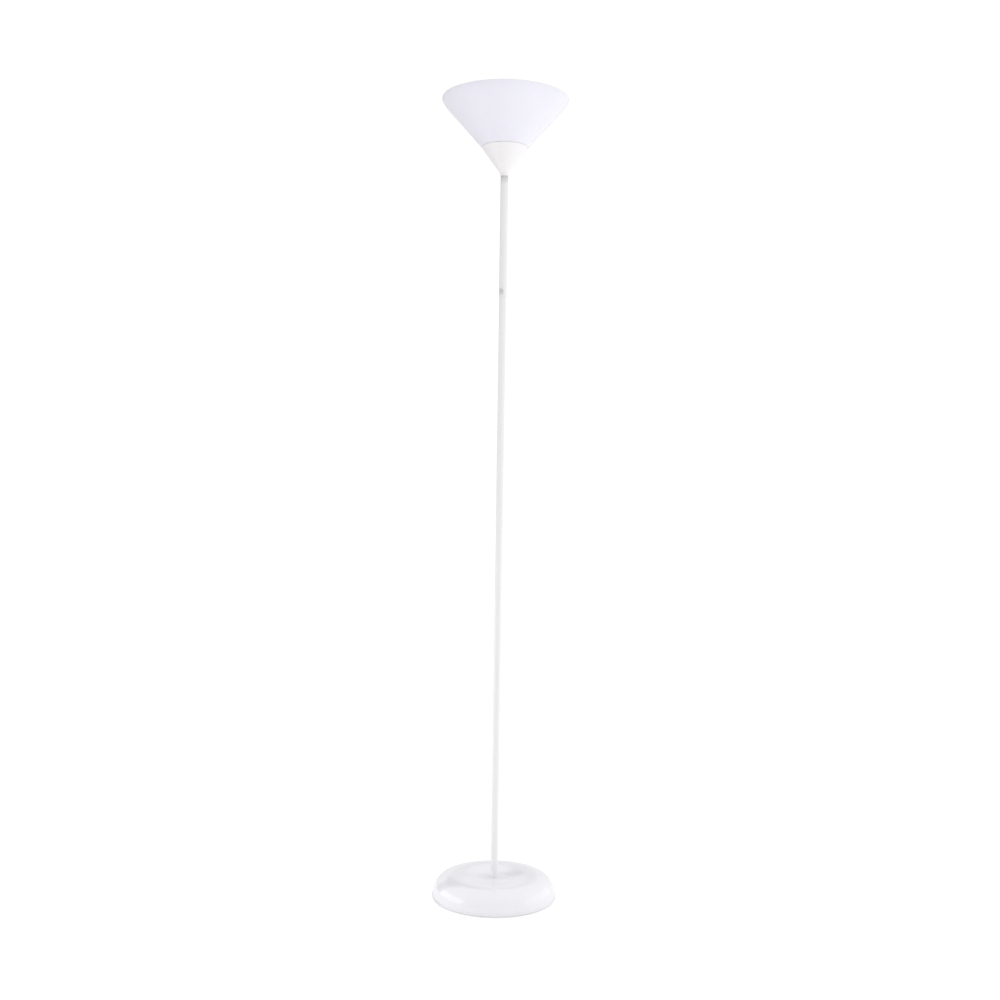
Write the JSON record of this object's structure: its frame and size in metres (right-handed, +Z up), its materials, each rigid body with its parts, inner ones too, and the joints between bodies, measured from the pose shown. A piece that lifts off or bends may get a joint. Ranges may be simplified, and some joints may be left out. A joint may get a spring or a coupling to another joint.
{
  "type": "torchiere floor lamp",
  "caption": "Slim uplighter floor lamp: weighted round base, sectional pole with a turn switch, opaque cone cup and a translucent cone shade open at the top.",
  "frame": {"origin": "centre of the base on the floor", "axes": "+Z up along the pole, -Y to the front, the cord inlet is at the back on +Y"},
  "size_m": [0.287, 0.287, 1.803],
  "materials": {
    "base_plastic": "gloss",
    "cast_weight": "matte",
    "plate_plastic": "matte",
    "foot_pad": "matte",
    "gland_rubber": "satin",
    "zinc_steel": "satin",
    "pole_paint": "gloss",
    "switch_case": "satin",
    "nickel": "polished",
    "switch_white": "satin",
    "knob_grey": "satin",
    "cup_plastic": "satin",
    "shade_plastic": "satin",
    "holder_phenolic": "satin",
    "brass": "polished",
    "bulb_plastic": "satin",
    "bulb_diffuser": "satin",
    "bulb_metal": "polished",
    "bulb_black": "gloss",
    "lead_sheath": "satin",
    "core_black": "satin",
    "core_white": "satin"
  },
  "bodies": {
    "stand": {"base_cover": "base_plastic", "base_weight": "cast_weight", "base_plate": "plate_plastic", "base_feet": "foot_pad", "plate_screws": "zinc_steel", "cord_gland": "gland_rubber", "foot_washer": "zinc_steel", "foot_nut": "zinc_steel", "supply_lead": "lead_sheath", "core_live": "core_black", "core_neutral": "core_white", "core_switched": "core_black", "switch_tube": "pole_paint", "switch_tube_plug": "zinc_steel", "tube_socket_5": "zinc_steel", "switch_body": "switch_case", "switch_bushing": "nickel", "switch_saddle": "switch_white", "switch_nut": "switch_white", "switch_terminals": "brass", "head_nipple": "zinc_steel", "neck_nut": "zinc_steel", "head_cup": "cup_plastic", "cup_washer": "zinc_steel", "cup_nut": "zinc_steel", "holder_cap": "holder_phenolic", "holder_insulator": "holder_phenolic", "holder_shell": "holder_phenolic", "screw_shell": "brass", "holder_contact": "brass", "holder_terminals": "brass", "pole_tube_1": "pole_paint", "tube_stud_1": "zinc_steel", "tube_socket_1": "zinc_steel", "pole_tube_2": "pole_paint", "tube_stud_2": "zinc_steel", "tube_socket_2": "zinc_steel", "pole_tube_3": "pole_paint", "tube_stud_3": "zinc_steel", "tube_socket_3": "zinc_steel", "pole_tube_4": "pole_paint", "tube_stud_4": "zinc_steel", "tube_socket_4": "zinc_steel"},
    "switch_key": {"switch_rotor": "switch_case", "switch_spindle": "brass", "switch_knob": "knob_grey"},
    "shade": {"shade": "shade_plastic"},
    "bulb": {"bulb_contact": "bulb_metal", "bulb_insulator": "bulb_black", "bulb_cap": "bulb_metal", "bulb_body": "bulb_plastic", "bulb_led_board": "bulb_metal", "bulb_globe": "bulb_diffuser"}
  },
  "joints": [
    {"name": "knob_turn", "type": "hinge", "parent": "stand", "child": "switch_key", "pos_m": [0, 0, 1.3664], "axis": [-0.2588, -0.9659, 0], "continuous": true},
    {"name": "shade_lift", "type": "slide", "parent": "stand", "child": "shade", "axis": [0, 0, 1], "range_m": [0, 0.15]},
    {"name": "bulb_lift", "type": "slide", "parent": "stand", "child": "bulb", "axis": [0, 0, 1], "range_m": [0, 0.13]}
  ]
}
